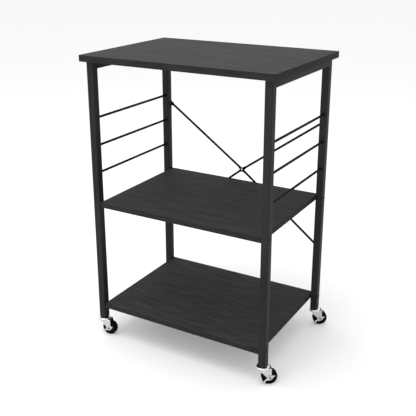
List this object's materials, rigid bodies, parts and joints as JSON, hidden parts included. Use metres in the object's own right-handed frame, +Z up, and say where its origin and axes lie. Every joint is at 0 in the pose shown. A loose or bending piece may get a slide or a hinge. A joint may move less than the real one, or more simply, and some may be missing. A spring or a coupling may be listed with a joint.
{
  "type": "rolling storage cart",
  "caption": "Rolling storage cart: dark laminate top and shelves on a black square-tube frame with side rods, a crossed back brace and braked swivel casters.",
  "frame": {"origin": "on the floor under the middle of the cart, halfway between the legs", "axes": "+X to the right-hand end seen from the front, +Y to the back where the brace is, +Z up"},
  "size_m": [0.6127, 0.4335, 0.875],
  "materials": {
    "laminate_board": "charcoal wood-grain laminate on particle board, matt with a faint sheen",
    "edge_band": "charcoal plastic edge strip with a fine grain, matt",
    "black_powder_coat": "black powder coat, satin with a fine texture",
    "black_fastener": "black oxide, satin",
    "zinc_steel": "zinc plated steel",
    "bright_plate": "bright plated pressed steel",
    "black_plastic": "black moulded plastic, matt",
    "wheel_plastic": "black moulded nylon, satin",
    "tyre_rubber": "black rubber, matt"
  },
  "bodies": {
    "frame": {"top_board": "laminate_board", "middle_shelf": "laminate_board", "bottom_shelf": "laminate_board", "top_board_edge_band": "edge_band", "middle_shelf_edge_band": "edge_band", "bottom_shelf_edge_band": "edge_band", "front_left_leg": "black_powder_coat", "front_right_leg": "black_powder_coat", "rear_left_leg": "black_powder_coat", "rear_right_leg": "black_powder_coat", "left_top_rail": "black_powder_coat", "right_top_rail": "black_powder_coat", "left_lower_rod": "black_powder_coat", "left_middle_rod": "black_powder_coat", "left_upper_rod": "black_powder_coat", "right_lower_rod": "black_powder_coat", "right_middle_rod": "black_powder_coat", "right_upper_rod": "black_powder_coat", "falling_brace": "black_powder_coat", "rising_brace": "black_powder_coat", "middle_shelf_bolts": "black_fastener", "bottom_shelf_bolts": "black_fastener", "brace_end_bolts": "black_fastener", "top_board_screws": "black_fastener", "middle_shelf_inserts": "zinc_steel", "bottom_shelf_inserts": "zinc_steel", "brace_rivet_nuts": "zinc_steel", "brace_centre_bolt": "zinc_steel", "brace_centre_nut": "zinc_steel", "caster_stems": "zinc_steel", "caster_bearing_balls": "zinc_steel", "caster_bearing_cups": "bright_plate", "caster_sockets": "black_plastic", "rod_collars": "black_plastic"},
    "front_left_caster": {"front_left_yoke": "bright_plate", "front_left_axle": "zinc_steel", "front_left_axle_bush": "zinc_steel"},
    "front_left_wheel": {"front_left_wheel_hub": "wheel_plastic", "front_left_tyre": "tyre_rubber"},
    "front_left_brake": {"front_left_brake_lever": "bright_plate"},
    "front_right_caster": {"front_right_yoke": "bright_plate", "front_right_axle": "zinc_steel", "front_right_axle_bush": "zinc_steel"},
    "front_right_wheel": {"front_right_wheel_hub": "wheel_plastic", "front_right_tyre": "tyre_rubber"},
    "front_right_brake": {"front_right_brake_lever": "bright_plate"},
    "rear_left_caster": {"rear_left_yoke": "bright_plate", "rear_left_axle": "zinc_steel", "rear_left_axle_bush": "zinc_steel"},
    "rear_left_wheel": {"rear_left_wheel_hub": "wheel_plastic", "rear_left_tyre": "tyre_rubber"},
    "rear_left_brake": {"rear_left_brake_lever": "bright_plate"},
    "rear_right_caster": {"rear_right_yoke": "bright_plate", "rear_right_axle": "zinc_steel", "rear_right_axle_bush": "zinc_steel"},
    "rear_right_wheel": {"rear_right_wheel_hub": "wheel_plastic", "rear_right_tyre": "tyre_rubber"},
    "rear_right_brake": {"rear_right_brake_lever": "bright_plate"}
  },
  "joints": [
    {"name": "front_left_swivel", "type": "hinge", "parent": "frame", "child": "front_left_caster", "pos_m": [-0.275, -0.189, 0.058], "axis": [0, 0, 1], "continuous": true},
    {"name": "front_left_wheel_spin", "type": "hinge", "parent": "front_left_caster", "child": "front_left_wheel", "pos_m": [-0.25678, -0.18579, 0.0225], "axis": [-0.1736, 0.9848, 0], "continuous": true},
    {"name": "front_left_brake_rock", "type": "hinge", "parent": "front_left_caster", "child": "front_left_brake", "pos_m": [-0.25678, -0.18579, 0.0225], "axis": [-0.1736, 0.9848, 0], "range_deg": [0, 28]},
    {"name": "front_right_swivel", "type": "hinge", "parent": "frame", "child": "front_right_caster", "pos_m": [0.275, -0.189, 0.058], "axis": [0, 0, 1], "continuous": true},
    {"name": "front_right_wheel_spin", "type": "hinge", "parent": "front_right_caster", "child": "front_right_wheel", "pos_m": [0.28958, -0.17761, 0.0225], "axis": [-0.6157, 0.788, 0], "continuous": true},
    {"name": "front_right_brake_rock", "type": "hinge", "parent": "front_right_caster", "child": "front_right_brake", "pos_m": [0.28958, -0.17761, 0.0225], "axis": [-0.6157, 0.788, 0], "range_deg": [0, 28]},
    {"name": "rear_left_swivel", "type": "hinge", "parent": "frame", "child": "rear_left_caster", "pos_m": [-0.275, 0.189, 0.058], "axis": [0, 0, 1], "continuous": true},
    {"name": "rear_left_wheel_spin", "type": "hinge", "parent": "rear_left_caster", "child": "rear_left_wheel", "pos_m": [-0.25985, 0.19961, 0.0225], "axis": [-0.5736, 0.8192, 0], "continuous": true},
    {"name": "rear_left_brake_rock", "type": "hinge", "parent": "rear_left_caster", "child": "rear_left_brake", "pos_m": [-0.25985, 0.19961, 0.0225], "axis": [-0.5736, 0.8192, 0], "range_deg": [0, 28]},
    {"name": "rear_right_swivel", "type": "hinge", "parent": "frame", "child": "rear_right_caster", "pos_m": [0.275, 0.189, 0.058], "axis": [0, 0, 1], "continuous": true},
    {"name": "rear_right_wheel_spin", "type": "hinge", "parent": "rear_right_caster", "child": "rear_right_wheel", "pos_m": [0.29034, 0.19935, 0.0225], "axis": [-0.5592, 0.829, 0], "continuous": true},
    {"name": "rear_right_brake_rock", "type": "hinge", "parent": "rear_right_caster", "child": "rear_right_brake", "pos_m": [0.29034, 0.19935, 0.0225], "axis": [-0.5592, 0.829, 0], "range_deg": [0, 28]}
  ]
}
